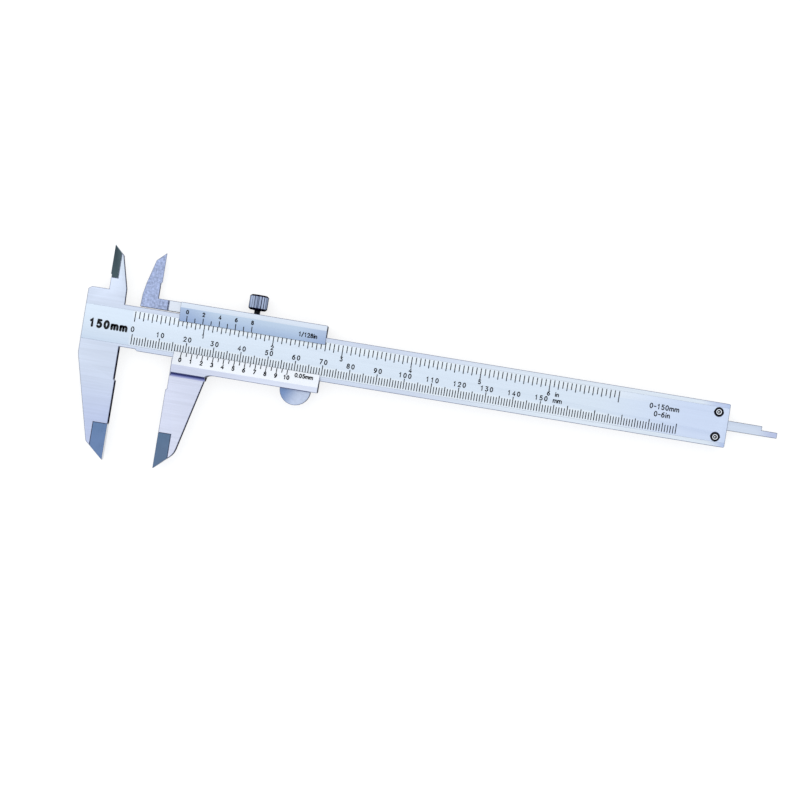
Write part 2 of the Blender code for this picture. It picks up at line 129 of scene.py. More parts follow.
def math_node(tree, operation, first, second, third=0.0):
    made = add_node(tree, "ShaderNodeMath", {"operation": operation}, i0=first, i1=second, i2=third)
    return made.outputs[0]


def place_of(tree):
    return add_node(tree, "ShaderNodeTexCoord").outputs["Object"]


def noise(tree, place, scale, detail=3.0, rough=0.55, offset=(0.0, 0.0, 0.0)):
    """Noise whose number of cells in a metre is given along X, Y and Z."""
    mapping = add_node(tree, "ShaderNodeMapping", Vector=place, Location=offset, Scale=scale)
    made = add_node(tree, "ShaderNodeTexNoise", Vector=mapping.outputs[0], Scale=1.0,
                    Detail=detail, Roughness=rough)
    return made.outputs["Fac"]


def varied(tree, base, *shares):
    """base x (1 + the sum of share x (noise - 0.5)), as one value output."""
    total = 1.0
    for share, value in shares:
        centred = math_node(tree, "SUBTRACT", value, 0.5)
        total = math_node(tree, "MULTIPLY_ADD", centred, share, total)
    return math_node(tree, "MULTIPLY", total, base)


def scaled_colour(tree, colour, factor):
    made = add_node(tree, "ShaderNodeVectorMath", {"operation": "SCALE"}, Scale=factor)
    if isinstance(colour, bpy.types.NodeSocket):
        tree.links.new(colour, made.inputs[0])
    else:
        made.inputs[0].default_value = colour[:3]
    return made.outputs[0]


def faded_colour(tree, place, start, end, first, second):
    """A colour that goes from first at the point start to second at the point end, in metres."""
    span = Vector(end) - Vector(start)
    shifted = add_node(tree, "ShaderNodeVectorMath", {"operation": "SUBTRACT"}, i0=place, i1=start)
    along = add_node(tree, "ShaderNodeVectorMath", {"operation": "DOT_PRODUCT"},
                     i0=shifted.outputs[0], i1=tuple(span / span.length_squared))
    share = add_node(tree, "ShaderNodeMapRange", {"interpolation_type": "SMOOTHSTEP"},
                     Value=along.outputs["Value"])
    return mixed_colour(tree, share.outputs[0], first, second)


def with_fades(tree, place, colour, fades):
    """A colour with its fades, each (start, end, second colour): a slow change between two points."""
    for start, end, second in fades:
        colour = faded_colour(tree, place, start, end, colour, second)
    return colour


def mixed_colour(tree, share, first, second):
    return add_node(tree, "ShaderNodeMix", {"data_type": "RGBA"}, i0=share, i6=first, i7=second).outputs[2]


def set_surface(tree, shader, base, roughness, height, bump, depth):
    """Links a shader's colour and roughness, and bumps of this depth in metres."""
    tree.links.new(base, shader.inputs["Base Color"])
    tree.links.new(roughness, shader.inputs["Roughness"])
    bumped = add_node(tree, "ShaderNodeBump", Strength=bump, Distance=depth, Height=height)
    tree.links.new(bumped.outputs[0], shader.inputs["Normal"])


def steel(name, colour, rough=0.34, grain="X", streak=0.16, mottle=0.05, speck=0.0, bump=0.5,
          fades=(), rim=1.0):
    """Ground steel: fine lines along the grain axis, a coarser band of them, specks and faint clouds.

    The rim is how much of the light that grazes the surface comes back.
    """
    made, tree, shader = new_material(name)
    place = place_of(tree)
    along = {"X": (70.0, 1.0, 1.0), "Y": (1.0, 70.0, 1.0), "Z": (1.0, 1.0, 70.0)}[grain]
    fine = noise(tree, place, [6500.0 if part == 1.0 else part for part in along])
    broad = noise(tree, place, [1300.0 if part == 1.0 else part * 0.5 for part in along],
                  offset=(3.1, 7.7, 1.3))
    cloud = noise(tree, place, (90.0, 90.0, 90.0), detail=2.0)
    base = with_fades(tree, place, colour, fades)
    specks = noise(tree, place, (1300.0, 1300.0, 1300.0), detail=2.0)
    factor = varied(tree, 1.0, (streak, fine), (streak * 0.8, broad), (mottle, cloud), (speck, specks))
    roughness = varied(tree, rough, (0.35, fine), (0.25, broad), (0.2, cloud))
    height = math_node(tree, "MULTIPLY_ADD", broad, 0.7, fine)
    set_surface(tree, shader, scaled_colour(tree, base, factor), roughness, height, bump, 0.004 * MM)
    shader.inputs["Metallic"].default_value = 1.0
    shader.inputs["Specular Tint"].default_value = (rim, rim, rim, 1.0)
    return made


def satin(name, colour, rough=0.42, fades=()):
    """Satin chrome of the graduated faces: a fine even grain with faint lines and clouds."""
    made, tree, shader = new_material(name)
    place = place_of(tree)
    grit = noise(tree, place, (9000.0, 9000.0, 9000.0), detail=4.0)
    drag = noise(tree, place, (60.0, 2200.0, 2200.0))
    cloud = noise(tree, place, (70.0, 70.0, 70.0), detail=2.0)
    base = with_fades(tree, place, colour, fades)
    factor = varied(tree, 1.0, (0.08, grit), (0.09, drag), (0.05, cloud))
    roughness = varied(tree, rough, (0.3, grit), (0.2, cloud))
    set_surface(tree, shader, scaled_colour(tree, base, factor), roughness, grit, 0.5, 0.003 * MM)
    shader.inputs["Metallic"].default_value = 1.0
    return made


def knob_steel(name):
    """Polished steel with lines along the axis, with a painted highlight on top and painted dark violet
    shade where it turns away.
    """
    made, tree, shader = new_material(name)
    place = place_of(tree)
    lines = noise(tree, place, (5200.0, 60.0, 5200.0))
    cloud = noise(tree, place, (500.0, 500.0, 500.0))
    # Painted light and shade by the normal: bright where it faces up, dark violet on the sides. The dark
    # rim tint below also dims the sides' grazing reflection.
    facing = add_node(tree, "ShaderNodeSeparateXYZ",
                      Vector=add_node(tree, "ShaderNodeNewGeometry").outputs["Normal"])
    share = add_node(tree, "ShaderNodeMapRange", {"interpolation_type": "SMOOTHSTEP"},
                     Value=facing.outputs["Z"], From_Min=0.5, From_Max=0.88)
    base = mixed_colour(tree, share.outputs[0], metal(26, 18, 66), metal(166, 180, 208))
    factor = varied(tree, 1.0, (0.3, lines), (0.15, cloud))
    roughness = varied(tree, 0.28, (0.4, lines), (0.3, cloud))
    set_surface(tree, shader, scaled_colour(tree, base, factor), roughness, lines, 0.4, 0.003 * MM)
    shader.inputs["Metallic"].default_value = 1.0
    shader.inputs["Specular Tint"].default_value = (0.1, 0.1, 0.2, 1.0)
    return made


def carbide(name, colour, second, start, end):
    """Ground carbide: dark and dense, with grinding lines, a grain of crystals and faint clouds."""
    made, tree, shader = new_material(name)
    place = place_of(tree)
    lines = noise(tree, place, (5200.0, 60.0, 5200.0))
    crystals = noise(tree, place, (14000.0, 14000.0, 14000.0), detail=2.0)
    cloud = noise(tree, place, (260.0, 260.0, 260.0), detail=3.0)
    base = faded_colour(tree, place, start, end, colour, second)
    factor = varied(tree, 1.0, (0.22, lines), (0.2, crystals), (0.25, cloud))
    roughness = varied(tree, 0.3, (0.5, lines), (0.3, cloud))
    set_surface(tree, shader, scaled_colour(tree, base, factor), roughness, lines, 0.4, 0.003 * MM)
    shader.inputs["Metallic"].default_value = 0.9
    return made


def filled_ink(name, colour):
    """Black ink of the graduation lines and figures: matt, a little uneven, with fine pits."""
    made, tree, shader = new_material(name)
    place = place_of(tree)
    patches = noise(tree, place, (1200.0, 1200.0, 1200.0), detail=4.0)
    pits = noise(tree, place, (16000.0, 16000.0, 16000.0), detail=2.0)
    base = scaled_colour(tree, colour, varied(tree, 1.0, (0.8, patches), (0.5, pits)))
    roughness = varied(tree, 0.6, (0.3, patches))
    set_surface(tree, shader, base, roughness, pits, 0.4, 0.004 * MM)
    shader.inputs["Specular IOR Level"].default_value = 0.15
    return made


def black_oxide(name):
    """Black oxide on steel: dark, with a fine grit, and worn to grey in places."""
    made, tree, shader = new_material(name)
    place = place_of(tree)
    wear = noise(tree, place, (2600.0, 2600.0, 2600.0), detail=5.0)
    grit = noise(tree, place, (12000.0, 12000.0, 12000.0), detail=2.0)
    worn = add_node(tree, "ShaderNodeMapRange", Value=wear, From_Min=0.58, From_Max=0.72)
    base = mixed_colour(tree, worn.outputs[0], tone(12, 13, 17), tone(48, 52, 60))
    roughness = varied(tree, 0.42, (0.5, grit), (0.4, wear))
    set_surface(tree, shader, base, roughness, grit, 0.5, 0.004 * MM)
    shader.inputs["Metallic"].default_value = 0.7
    shader.inputs["Specular IOR Level"].default_value = 0.15
    return made


# ---------------------------------------------------------------- materials of the caliper


def at(x, y, z=0.0, start=None):
    """A point given from the main scale's zero mark, or from another X, in metres."""
    return ((MAIN_X if start is None else start) + x) * MM, (MIDDLE_Y + y) * MM, z * MM


PANEL = satin("satin_panel", metal(224, 236, 249), fades=[
    (at(0.0, -2.4), at(0.0, -3.3), metal(236, 245, 253)),
    (at(0.0, 3.6), at(0.0, 4.4), metal(236, 245, 253)),
    (at(0.0, 0.0), at(-1.4, 0.0), metal(221, 234, 248)),
    (at(165.0, 0.0), at(207.0, 0.0), metal(215, 228, 251)),
])
# Some of the beam's fades are painted light and shade: darker and bluer at its right end as a painted
# reflection, darker towards the outside jaw's tip and lighter towards the inside jaw's tip.
BEAM_FACE = steel("ground_beam", metal(212, 222, 240), streak=0.24, fades=[
    (at(95.0, 0.0), at(150.0, 0.0), metal(226, 236, 247)),
    (at(209.0, 0.0), at(216.0, 2.0), metal(198, 211, 240)),
    (at(215.5, 0.0), at(218.2, 0.0), metal(188, 205, 238)),
    (at(-10.0, -12.0), at(-10.0, -42.0), metal(196, 207, 238)),
    (at(-8.0, 15.0), at(-8.0, 24.0), metal(220, 232, 246)),
])
# The broken edges are darker than the faces beside them: a painted dark outline, painted shade.
EDGE = steel("polished_edge_painted_shade", metal(128, 134, 160), rough=0.28, streak=0.1)
# Walls are darker than the faces of the same steel and reflect less at a graze: painted shade. The dark
# wall, for walls facing +X, is a deeper painted shade.
WALL = steel("ground_wall_painted_shade", metal(114, 118, 138), rough=0.34, rim=0.3)
DARK_WALL = steel("shaded_wall", metal(66, 60, 90), rough=0.36, rim=0.0)
BACK = steel("ground_back", metal(205, 210, 220), rough=0.36)
MOVING_JAW = steel("ground_moving_jaw", metal(219, 224, 243), streak=0.3)
# Deep blue of the cove under the slider's rail, lightening towards the jaw: painted shade under the
# overhang.
COVE = steel("ground_cove_painted_shade", metal(34, 38, 130), rough=0.3,
             fades=[(at(0.0, -13.6), at(0.0, -14.9), metal(178, 182, 222))])
TOP_STRIP = steel("ground_slider_top", metal(225, 235, 248))
BOTTOM_STRIP = steel("ground_slider_bottom", metal(211, 217, 237), fades=[
    (at(0.0, 0.0, start=VERNIER_X), at(45.0, 0.0, start=VERNIER_X), metal(226, 233, 250))])
# Both bevels are the same satin chrome: the inch bevel is given a darker blue as painted shade, and the mm
# bevel near white as a painted highlight.
INCH_BEVEL = satin("satin_inch_bevel_painted_shade", metal(186, 205, 232), fades=[
    (at(-1.0, 0.0, start=VERNIER_X), at(12.0, 0.0, start=VERNIER_X), metal(206, 223, 241)),
    (at(40.0, 0.0, start=VERNIER_X), at(50.0, 0.0, start=VERNIER_X), metal(194, 210, 234))])
MM_BEVEL = satin("satin_mm_bevel_painted_highlight", metal(237, 241, 246), fades=[
    (at(-2.0, 0.0, start=VERNIER_X), at(10.0, 0.0, start=VERNIER_X), metal(246, 250, 255))])
LANDING = steel("ground_landing", metal(228, 235, 246), streak=0.08)
# The blade is darker and bluer than the landing beside it, for its lower level: painted shade. Its grain
# and specks are the steel's own.
MOVING_BLADE = steel("ground_moving_blade_painted_shade", metal(171, 185, 221), grain="Y", streak=0.6, mottle=0.4,
                     speck=1.3)
# The thumb rest is dark blue by the rail above it and fades to pale towards its lower right: painted shade
# under the rail's overhang.
THUMB = steel("ground_thumb_rest_painted_shade", metal(124, 150, 195), streak=0.15, mottle=0.3, speck=0.3,
              fades=[(at(38.5, -12.8, start=VERNIER_X), at(44.5, -15.5, start=VERNIER_X),
                      metal(197, 209, 233))])
# The rod's fade to a darker blue at its end is a painted reflection, and its dark broken edges, with
# little grazing reflection, are painted shade.
ROD = steel("drawn_rod", metal(213, 224, 241),
            fades=[(at(229.0, 0.0), at(236.0, 0.0), metal(192, 202, 232))])
ROD_EDGE = steel("drawn_rod_edge_painted_shade", metal(56, 58, 84), rough=0.3, streak=0.1, rim=0.2)
PLATE = steel("ground_plate", metal(200, 206, 218))
# The knob's painted light: a painted highlight on top and painted dark violet shade at the sides.
KNOB = knob_steel("polished_knob_painted_light")
# Dark violet chamfers and flute ends of the knob, with no grazing reflection: painted shade.
KNOB_EDGE = steel("knob_chamfer_painted_shade", metal(26, 20, 46), rough=0.3, streak=0.1, rim=0.0)
# Bright ring on the stop screws' heads and spot in their sockets: painted highlight.
SCREW_RING = steel("socket_rim_painted_highlight", metal(238, 243, 250), rough=0.3, streak=0.1)
BRONZE = steel("rolled_bronze", metal(196, 148, 92), rough=0.38)
BLACK = black_oxide("black_oxide")
INK = filled_ink("black_filling", tone(12, 13, 18))
BOLD_INK = filled_ink("bold_black_filling", tone(9, 10, 13))
FIXED_CARBIDE = carbide("fixed_outside_carbide", metal(102, 130, 170), metal(108, 134, 176),
                        at(-8.0, -36.0), at(-5.0, -42.0))
MOVING_CARBIDE = carbide("moving_outside_carbide", metal(92, 118, 148), metal(96, 118, 148),
                         at(14.0, -36.0), at(17.0, -42.0))
INSIDE_CARBIDE = carbide("inside_carbide", metal(69, 85, 91), metal(74, 91, 97),
                         at(-10.0, 18.0), at(-9.0, 26.0))
LAPPED = steel("lapped_face", metal(236, 240, 248), rough=0.12, streak=0.04, bump=0.1)
BRAZE = steel("braze_line", metal(206, 216, 232), rough=0.3, streak=0.06)


# ---------------------------------------------------------------- refined copies of CAD nodes


def placed(name, data):
    """A new object in the scene."""
    made = bpy.data.objects.new(name, data)
    bpy.context.scene.collection.objects.link(made)
    return made


def turn_faces_out(mesh):
    shape = bmesh.new()
    shape.from_mesh(mesh)
    bmesh.ops.recalc_face_normals(shape, faces=shape.faces)
    shape.to_mesh(mesh)
    shape.free()


# Edges that turn by more than this angle are broken, by at most ROOM_SHARE of the narrower face.
# An edge on a thin lip or by the panel's low step is broken by LOW_STEP_SHARE of that.
EDGE_ANGLE = math.radians(25.0)
ROOM_SHARE = 0.35
LOW_STEP_SHARE = 0.12

# A face is a wall where the Z of its normal is within UPRIGHT of zero, and a dark wall where the X of
# its normal is over FACES_RIGHT. A face is on a level when it is at most LEVEL_GAP below it.
# Walls take painted shade, and dark walls a deeper painted shade.
UPRIGHT = 0.5
FACES_RIGHT = 0.3
LEVEL_GAP = 0.06

# Borders between faces of the slider: the Y that the cove is below, the X between the jaw and the
# thumb rest, and the height between the moving inside jaw's blade and the landing beside it
COVE_TOP = -12.6
JAW_TO_THUMB = 20.0
BLADE_TO_LANDING = 3.5


def local(point, start):
    """A point of the frame in millimetres from a zero mark."""
    return Vector((point.x / MM - start, point.y / MM - MIDDLE_Y, point.z / MM))


def room_beside(edge):
    """How far the narrower of an edge's two faces reaches from the edge."""
    first, second = edge.verts
    along = (second.co - first.co).normalized()
    reaches = []
    for face in edge.link_faces:
        offsets = [vertex.co - first.co for vertex in face.verts]
        reaches.append(max((offset - along * offset.dot(along)).length for offset in offsets))
    return min(reaches)


def by_low_step(point):
    """Whether a point is where the slider's lips are thin or where the beam's scale panel ends."""
    return 5.6 < point.z < 7.9 and 5.0 < abs(point.y) < 10.4


def edge_weight(edge, width, start):
    """The share of the full width by which an edge is broken, less where there is little room."""
    middle = (edge.verts[0].co + edge.verts[1].co) / 2.0
    weight = min(1.0, ROOM_SHARE * room_beside(edge) / (width * MM))
    return weight * LOW_STEP_SHARE if by_low_step(local(middle, start)) else weight


def refined(node, body, slot, materials, sort, width=0.12, start=MAIN_X):
    """A copy of a CAD node with whole faces, softly broken edges and a material for each face.

    sort(centre, normal) gives a face's material, with centre in millimetres from the zero mark at
    start, or None for the first material. The broken edges take the last material.
    """
    shape = bmesh.new()
    shape.from_mesh(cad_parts[node].data)
    bmesh.ops.remove_doubles(shape, verts=shape.verts, dist=0.002 * MM)
    bmesh.ops.dissolve_limit(shape, angle_limit=math.radians(0.4), verts=shape.verts,
                             edges=shape.edges)
    bmesh.ops.recalc_face_normals(shape, faces=shape.faces)
    weights = shape.edges.layers.float.new("bevel_weight_edge")
    for edge in shape.edges:
        if len(edge.link_faces) == 2 and edge.calc_face_angle() > EDGE_ANGLE:
            edge[weights] = edge_weight(edge, width, start)
    for face in shape.faces:
        face.smooth = True
        look = sort(local(face.calc_center_median(), start), face.normal)
        face.material_index = materials.index(look) if look else 0
    mesh = bpy.data.meshes.new(node + "_surface")
    shape.to_mesh(mesh)
    shape.free()
    piece = placed(node + "_surface", mesh)
    for made in materials:
        mesh.materials.append(made)
    bevel = piece.modifiers.new("broken_edges", "BEVEL")
    bevel.limit_method = "WEIGHT"
    bevel.width = width * MM
    bevel.segments = 2
    bevel.use_clamp_overlap = False
    bevel.material = len(materials) - 1
    graph = bpy.context.evaluated_depsgraph_get()
    piece.data = bpy.data.meshes.new_from_object(piece.evaluated_get(graph))
    piece.modifiers.clear()
    piece.data.set_sharp_from_angle(angle=math.radians(20.0))
    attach(piece, body)
    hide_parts(node)


def sort_beam(centre, normal):
    if normal.z < -UPRIGHT:
        return BACK
    if normal.z < UPRIGHT:
        return DARK_WALL if normal.x > FACES_RIGHT else WALL
    return PANEL if centre.z > PANEL_FRONT - LEVEL_GAP else BEAM_FACE


def sort_slider(centre, normal):
    if normal.z < -UPRIGHT:
        return BACK
    if centre.y < COVE_TOP and normal.z > 0.01 and normal.y < -0.15:
        return COVE
    if normal.z < UPRIGHT:
        return DARK_WALL if normal.x > FACES_RIGHT else WALL
    if centre.z > SLIDER_FRONT - LEVEL_GAP:
        return TOP_STRIP if centre.y > 0.0 else BOTTOM_STRIP
    if centre.z > LIP_EDGE:
        return INCH_BEVEL if centre.y > 0.0 else MM_BEVEL
    if centre.y < 0.0:
        return MOVING_JAW if centre.x < JAW_TO_THUMB else THUMB
    return MOVING_BLADE if centre.z < BLADE_TO_LANDING else LANDING


def sort_lapped(centre, normal):
    return LAPPED if abs(normal.x) > 0.9 else None


def all_one(centre, normal):
    return None


def make_surfaces():
    beam_looks = [PANEL, BEAM_FACE, WALL, DARK_WALL, BACK, EDGE]
    refined("beam", "beam", "beam_steel", beam_looks, sort_beam, width=0.18)
    slider_looks = [TOP_STRIP, BOTTOM_STRIP, INCH_BEVEL, MM_BEVEL, MOVING_JAW, COVE, THUMB, WALL,
                    DARK_WALL, BACK, MOVING_BLADE, LANDING, EDGE]
    refined("slider_frame", "slider", "slider_steel", slider_looks, sort_slider, width=0.18,
            start=VERNIER_X)
    # The outside carbides' broken edges take the dark wall's painted shade.
    faces = (
        ("fixed_outside_face", "beam", FIXED_CARBIDE, DARK_WALL),
        ("fixed_inside_face", "beam", INSIDE_CARBIDE, BRAZE),
        ("moving_outside_face", "slider", MOVING_CARBIDE, DARK_WALL),
        ("moving_inside_face", "slider", INSIDE_CARBIDE, BRAZE),
    )
    for node, body, look, edge in faces:
        refined(node, body, "carbide", [look, LAPPED, edge], sort_lapped, 0.06)
    refined("depth_rod", "slider", "rod_steel", [ROD, ROD_EDGE], all_one, 0.14)
    plain = (
        ("stop_plate", "beam", "plate_steel", PLATE, 0.12),
        ("gib", "gib", "bronze", BRONZE, 0.05),
        ("gib_screw_1", "slider", "black_screw", BLACK, 0.06),
        ("gib_screw_2", "slider", "black_screw", BLACK, 0.06),
        ("rod_screw_1", "slider", "plate_steel", PLATE, 0.06),
        ("rod_screw_2", "slider", "plate_steel", PLATE, 0.06),
    )
    for node, body, slot, look, width in plain:
        refined(node, body, slot, [look], all_one, width)


# ---------------------------------------------------------------- turned pieces


def lathe(name, rings, steps, place, materials):
    """A closed turned piece. Each ring is (radius at an angle, height, look of the band after it)."""
    vertices = []
    for reach, height, _ in rings:
        for step in range(steps):
            angle = 2.0 * math.pi * step / steps
            radius = reach(angle)
            vertices.append(place(radius * math.cos(angle), radius * math.sin(angle), height))
    last = (len(rings) - 1) * steps
    faces = [tuple(range(steps)), tuple(range(last, last + steps))]
    looks = [rings[0][2], rings[-1][2]]
    for row in range(len(rings) - 1):
        for step in range(steps):
            here = row * steps + step
            along = row * steps + (step + 1) % steps
            faces.append((here, along, along + steps, here + steps))
            looks.append(rings[row][2])
    mesh = bpy.data.meshes.new(name)
    mesh.from_pydata(vertices, [], faces)
    for made in materials:
        mesh.materials.append(made)
    mesh.polygons.foreach_set("material_index", [materials.index(look) for look in looks])
    turn_faces_out(mesh)
    mesh.shade_smooth()
    mesh.set_sharp_from_angle(angle=math.radians(35.0))
    return placed(name, mesh)


def circle(radius):
    return lambda angle: radius


def hexagon(flat):
    """Radius at an angle of a hexagon whose flats are at this distance from its middle."""
    third = math.pi / 3.0
    return lambda angle: flat / math.cos((angle + third / 2.0) % third - third / 2.0)


FLUTES = 20
FLUTE_DEPTH = 0.35


def fluted(radius, share):
    """Radius of the knob's side: round-bottomed flutes with narrow lands between them."""
    def reach(angle):
        wave = 0.5 - 0.5 * math.cos(angle * FLUTES)
        return radius - FLUTE_DEPTH * share * wave ** 0.8
    return reach


def make_knob():
    """The lock screw: a black stud and neck, and a fluted knob with a dished end."""
    low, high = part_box("lock_screw")
    axis_x = (low.x + high.x) / 2.0
    axis_z = (low.z + high.z) / 2.0
    base = low.y / MM - MIDDLE_Y
    end = high.y / MM - MIDDLE_Y
    knob_start = end - 5.6
    radius = (high.x - low.x) / 2.0 / MM
    shoulder = radius - 0.6
    rings = [
        # The neck's black is also painted shade under the knob, on the black oxide of the stud and neck.
        (circle(0.8), base, BLACK),
        (circle(0.95), base + 0.08, BLACK),
        (circle(1.2), base + 0.35, BLACK),
        (circle(1.2), base + 3.4, BLACK),
        (circle(1.1), base + 3.55, BLACK),
        (circle(1.1), knob_start - 0.25, BLACK),
        (circle(1.25), knob_start - 0.1, BLACK),
        (circle(1.6), knob_start, KNOB_EDGE),
        (circle(shoulder - 0.15), knob_start + 0.02, KNOB_EDGE),
        (circle(shoulder), knob_start + 0.08, KNOB_EDGE),
        (fluted(radius - 0.12, 0.7), knob_start + 0.52, KNOB_EDGE),
        (fluted(radius, 1.0), knob_start + 0.72, KNOB),
        (fluted(radius, 1.0), end - 0.6, KNOB_EDGE),
        (fluted(radius - 0.12, 0.7), end - 0.4, KNOB_EDGE),
        (circle(shoulder), end - 0.06, KNOB_EDGE),
        (circle(shoulder - 0.15), end, KNOB),
        (circle(shoulder - 0.5), end, KNOB),
        (circle(shoulder - 0.65), end - 0.08, KNOB),
        (circle(shoulder - 0.9), end - 0.3, KNOB),
        (circle(0.5), end - 0.36, KNOB),
    ]

    def place(u, v, height):
        return axis_x + v * MM, (MIDDLE_Y + height) * MM, axis_z + u * MM

    knob = lathe("lock_screw_surface", rings, FLUTES * 12, place, [BLACK, KNOB, KNOB_EDGE])
    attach(knob, "lock_screw")
    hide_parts("lock_screw")


def make_stop_screws():
    """Two screws: a black head and a dark hexagon socket, with a painted highlight as a bright rim and as
    a bright spot.
    """
    for number in (1, 2):
        node = f"stop_screw_{number}"
        low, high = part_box(node)
        centre_x = (low.x + high.x) / 2.0
        centre_y = (low.y + high.y) / 2.0
        top = high.z / MM
        rings = [
            (circle(0.8), low.z / MM, BLACK),
            (circle(0.8), 4.6, BLACK),
            (circle(1.6), 4.6, BLACK),
            (circle(1.6), top - 0.16, BLACK),
            (circle(1.54), top - 0.05, BLACK),
            (circle(1.42), top, BLACK),
            (circle(0.98), top, SCREW_RING),
            (circle(0.94), top - 0.02, SCREW_RING),
            (circle(0.7), top - 0.02, BLACK),
            (hexagon(0.58), top - 0.14, BLACK),
            (hexagon(0.56), top - 0.6, BLACK),
            (circle(0.3), top - 0.6, SCREW_RING),
            (circle(0.26), top - 0.56, SCREW_RING),
        ]

        def place(u, v, height, x=centre_x, y=centre_y):
            return x + u * MM, y + v * MM, height * MM

        screw = lathe(node + "_surface", rings, 48, place, [BLACK, SCREW_RING])
        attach(screw, "beam")
        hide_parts(node)


# ---------------------------------------------------------------- graduations


def bow(centre_x, centre_y, reach_x, reach_y, start, end, steps=10):
    """Points on an elliptical arc between two angles, in degrees."""
    points = []
    for step in range(steps + 1):
        angle = math.radians(start + (end - start) * step / steps)
        points.append((centre_x + reach_x * math.cos(angle), centre_y + reach_y * math.sin(angle)))
    return points


def oval(centre_x, centre_y, reach_x, reach_y):
    return bow(centre_x, centre_y, reach_x, reach_y, 0.0, 337.5, 15)


def turned_round(points):
    """A digit's stroke turned upside down in its cell."""
    return [(DIGIT_WIDTH - x, 1.0 - y) for x, y in points]


def arch(left, right, top):
    """One arch of an n or an m, which springs from the stem at left."""
    reach = (right - left) / 2.0
    return bow(left + reach, top - reach, reach, reach, 180.0, 0.0, 8) + [(right, 0.0)]


# Each glyph is a width and its strokes: (points, whether the stroke is closed). A digit is 1 high.
DIGIT_WIDTH = 0.62
X_HEIGHT = 0.64
SIX_STEM = bow(0.56, 0.33, 0.52, 0.67, 96.0, 180.0, 8)
SIX_BOWL = oval(0.31, 0.31, 0.27, 0.31)
GLYPHS = {
    "0": (DIGIT_WIDTH, [(oval(0.31, 0.5, 0.28, 0.5), True)]),
    "1": (DIGIT_WIDTH, [([(0.14, 0.78), (0.36, 1.0), (0.36, 0.0)], False)]),
    "2": (DIGIT_WIDTH, [(bow(0.31, 0.71, 0.27, 0.29, 170.0, -35.0) + [(0.04, 0.0), (0.6, 0.0)], False)]),
    "3": (DIGIT_WIDTH, [(bow(0.29, 0.76, 0.24, 0.24, 155.0, -80.0)
                         + bow(0.29, 0.27, 0.29, 0.27, 80.0, -150.0), False)]),
    "flat 3": (DIGIT_WIDTH, [([(0.06, 1.0), (0.56, 1.0), (0.27, 0.61)]
                              + bow(0.29, 0.3, 0.29, 0.3, 75.0, -150.0), False)]),
    "4": (DIGIT_WIDTH, [([(0.45, 0.0), (0.45, 1.0), (0.02, 0.27), (0.62, 0.27)], False)]),
    "5": (DIGIT_WIDTH, [([(0.55, 1.0), (0.15, 1.0), (0.1, 0.56)]
                         + bow(0.3, 0.32, 0.28, 0.32, 120.0, -145.0), False)]),
    "6": (DIGIT_WIDTH, [(SIX_STEM, False), (SIX_BOWL, True)]),
    "7": (DIGIT_WIDTH, [([(0.04, 1.0), (0.59, 1.0), (0.22, 0.0)], False)]),
    "8": (DIGIT_WIDTH, [(oval(0.31, 0.76, 0.22, 0.24), True), (oval(0.31, 0.26, 0.27, 0.26), True)]),
    "9": (DIGIT_WIDTH, [(turned_round(SIX_STEM), False), (turned_round(SIX_BOWL), True)]),
    "m": (0.84, [([(0.0, 0.0), (0.0, X_HEIGHT)], False), (arch(0.0, 0.42, X_HEIGHT), False),
                 (arch(0.42, 0.84, X_HEIGHT), False)]),
    "n": (0.46, [([(0.0, 0.0), (0.0, X_HEIGHT)], False), (arch(0.0, 0.46, X_HEIGHT), False)]),
    "i": (0.08, [([(0.04, 0.0), (0.04, X_HEIGHT)], False), ([(0.04, 0.9), (0.04, 0.98)], False)]),
    ".": (0.08, [([(0.04, 0.0), (0.04, 0.07)], False)]),
    "-": (0.4, [([(0.0, 0.45), (0.4, 0.45)], False)]),
    "/": (0.42, [([(0.0, -0.05), (0.42, 1.05)], False)]),
}
GLYPH_GAP = 0.27

# Rows of figures: the row's middle from the beam's middle line, the figures' height and the pen
ZERO_ROW = (-0.4, 2.1, 0.37)
MM_ROW = (-0.9, 1.95, 0.38)
INCH_ROW = (1.2, 1.8, 0.38)
MM_UNIT_ROW = (-1.0, 1.95, 0.36)
INCH_UNIT_ROW = (1.2, 1.8, 0.36)
RANGE_MARK_ROW = (-0.3, 3.4, 0.9)
MM_RANGE_ROW = (2.9, 2.05, 0.38)
INCH_RANGE_ROW = (0.2, 2.05, 0.38)
VERNIER_MM_ROW = (-8.55, 1.75, 0.42)
VERNIER_INCH_ROW = (8.9, 1.65, 0.38)
MM_READING_ROW = (-7.2, 1.72, 0.38)
INCH_READING_ROW = (7.75, 1.75, 0.37)


def glyph_strokes(glyphs, centre_x, row, gap=GLYPH_GAP):
    """The strokes of glyphs centred on an X in a row, as (points, closed, pen)."""
    centre_y, height, pen = row
    width = sum(GLYPHS[glyph][0] for glyph in glyphs) + gap * (len(glyphs) - 1)
    tall = height - pen
    left = centre_x - width * tall / 2.0
    foot = centre_y - tall / 2.0
    strokes = []
    for glyph in glyphs:
        glyph_width, parts = GLYPHS[glyph]
        for points, closed in parts:
            strokes.append(([(left + x * tall, foot + y * tall) for x, y in points], closed, pen))
        left += (glyph_width + gap) * tall
    return strokes


# Reach and half width of a stroke's end beyond its last point, and the least cosine at a corner
END_REACH = 0.42
END_HALF = 0.24
CORNER_COSINE = 0.62


def side_steps(points, closed):
    """For each point of a line, the direction across the line, lengthened at corners."""
    count = len(points)
    steps = []
    for index in range(count):
        before = points[index - 1] if closed or index else points[index]
        after = points[(index + 1) % count] if closed or index < count - 1 else points[index]
        here = Vector(points[index])
        ways = [way.normalized() for way in (here - Vector(before), Vector(after) - here) if way.length]
        middle = sum(ways, Vector((0.0, 0.0))).normalized()
        longer = 1.0 / max(CORNER_COSINE, abs(middle.dot(ways[0])))
        steps.append(Vector((-middle.y, middle.x)) * longer)
    return steps


